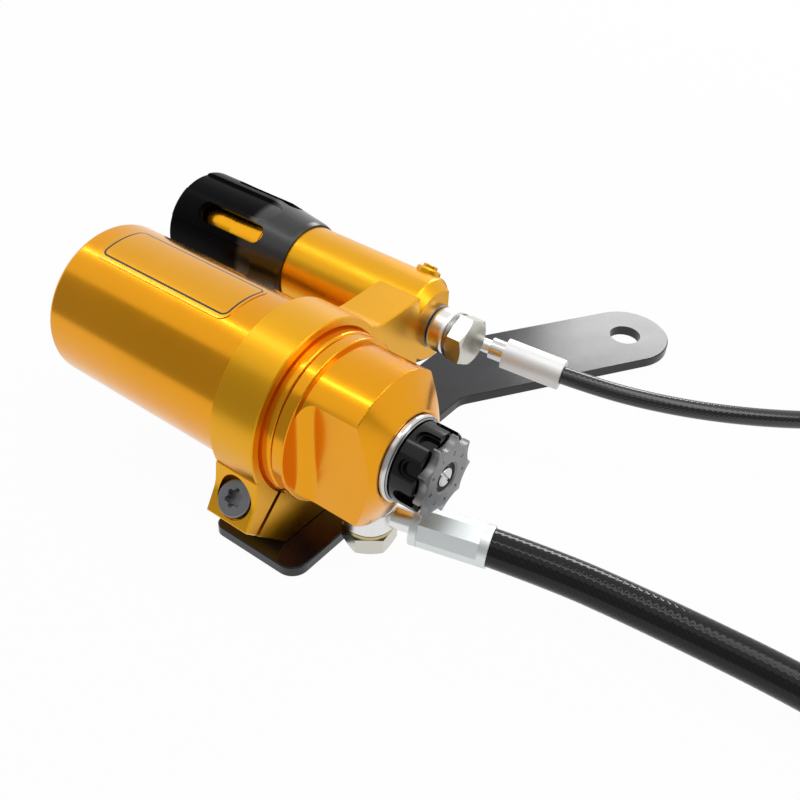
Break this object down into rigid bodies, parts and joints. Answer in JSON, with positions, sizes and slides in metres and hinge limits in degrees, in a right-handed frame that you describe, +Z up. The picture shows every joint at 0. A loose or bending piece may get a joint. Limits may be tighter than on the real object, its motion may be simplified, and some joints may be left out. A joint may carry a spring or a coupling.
{
  "type": "shock absorber remote reservoir",
  "caption": "Gold shock reservoir with a clamped hydraulic preload adjuster, a black bracket arm, compression dials and two hoses that end in banjo eyes.",
  "frame": {"origin": "centre of the bracket arm's hole, on the underside of the bracket plate", "axes": "+X along the reservoir towards its adjuster dials, +Z up through the bracket plate, +Y from the reservoir towards the preload adjuster"},
  "size_m": [0.3148, 0.1999, 0.066],
  "materials": {
    "gold": "satin gold anodised",
    "black_anodised": "satin black anodised",
    "grey_anodised": "satin grey anodised",
    "black_steel": "satin black coating",
    "dark_steel": "dark oxide",
    "steel": "turned steel",
    "plated_steel": "bright zinc plated",
    "polished": "polished plated steel",
    "copper": "soft sealing washer",
    "brass": "turned brass",
    "plain_aluminium": "matte aluminium",
    "seal_rubber": "matte black",
    "hose_cover": "glossy braided cover",
    "band_plastic": "bronze filled plastic",
    "label": "bare gold foil with a dark rim"
  },
  "bodies": {
    "unit": {"bracket_plate": "black_steel", "bracket_screws": "dark_steel", "clamp_body": "gold", "pinch_screw": "dark_steel", "reservoir_tube": "gold", "reservoir_head": "gold", "head_seal": "seal_rubber", "end_cap": "gold", "end_cap_seal": "seal_rubber", "end_cap_clip": "dark_steel", "gas_valve": "brass", "gas_valve_cap": "black_anodised", "label_plate": "label", "adjuster_cartridge": "steel", "adjuster_bezel": "polished", "shim_stack": "steel", "main_banjo_bolt": "plated_steel", "main_banjo_washers": "copper", "main_banjo": "polished", "main_ferrule": "polished", "main_hose": "hose_cover", "main_far_ferrule": "polished", "main_far_banjo": "polished", "preload_banjo_washers": "copper", "preload_banjo_bolt": "plated_steel", "preload_banjo": "polished", "preload_sleeve": "steel", "preload_ferrule": "plain_aluminium", "preload_hose": "hose_cover", "preload_far_ferrule": "plain_aluminium", "preload_far_banjo": "polished", "bleed_screw": "gold", "preload_guide": "gold", "knob_detent": "steel"},
    "preload_turner": {"preload_knob": "black_anodised", "preload_spindle": "steel", "knob_screw": "dark_steel"},
    "preload_piston": {"preload_piston": "plain_aluminium", "preload_piston_seal": "seal_rubber"},
    "gas_piston": {"floating_piston": "plain_aluminium", "floating_piston_band": "band_plastic", "floating_piston_seal": "seal_rubber"},
    "high_speed_turner": {"high_speed_knob": "black_anodised"},
    "high_speed_preload": {"high_speed_ring": "steel"},
    "low_speed_turner": {"low_speed_dial": "grey_anodised", "dial_screw": "steel"},
    "low_speed_needle": {"low_speed_needle": "brass"}
  },
  "joints": [
    {"name": "preload_knob_turn", "type": "hinge", "parent": "unit", "child": "preload_turner", "pos_m": [-0.024, -0.0834, 0.0405], "axis": [1, 0, 0], "range_deg": [0, 2880]},
    {"name": "preload_piston_slide", "type": "slide", "parent": "unit", "child": "preload_piston", "axis": [1, 0, 0], "range_m": [0, 0.012]},
    {"name": "gas_piston_slide", "type": "slide", "parent": "unit", "child": "gas_piston", "axis": [1, 0, 0], "range_m": [-0.022, 0.018]},
    {"name": "high_speed_turn", "type": "hinge", "parent": "unit", "child": "high_speed_turner", "pos_m": [-0.024, -0.133, 0.04], "axis": [1, 0, 0], "range_deg": [0, 1440]},
    {"name": "high_speed_preload_slide", "type": "slide", "parent": "unit", "child": "high_speed_preload", "axis": [1, 0, 0], "range_m": [0, 0.003]},
    {"name": "low_speed_turn", "type": "hinge", "parent": "unit", "child": "low_speed_turner", "pos_m": [-0.024, -0.133, 0.04], "axis": [1, 0, 0], "range_deg": [-1080, 0]},
    {"name": "low_speed_needle_slide", "type": "slide", "parent": "unit", "child": "low_speed_needle", "axis": [1, 0, 0], "range_m": [-0.0015, 0]}
  ],
  "couplings": [
    {"joint": "preload_piston_slide", "follows": "preload_knob_turn", "m_per_rad": 0.00023873},
    {"joint": "high_speed_preload_slide", "follows": "high_speed_turn", "m_per_rad": 0.00011937},
    {"joint": "low_speed_needle_slide", "follows": "low_speed_turn", "m_per_rad": 0.000079577}
  ]
}
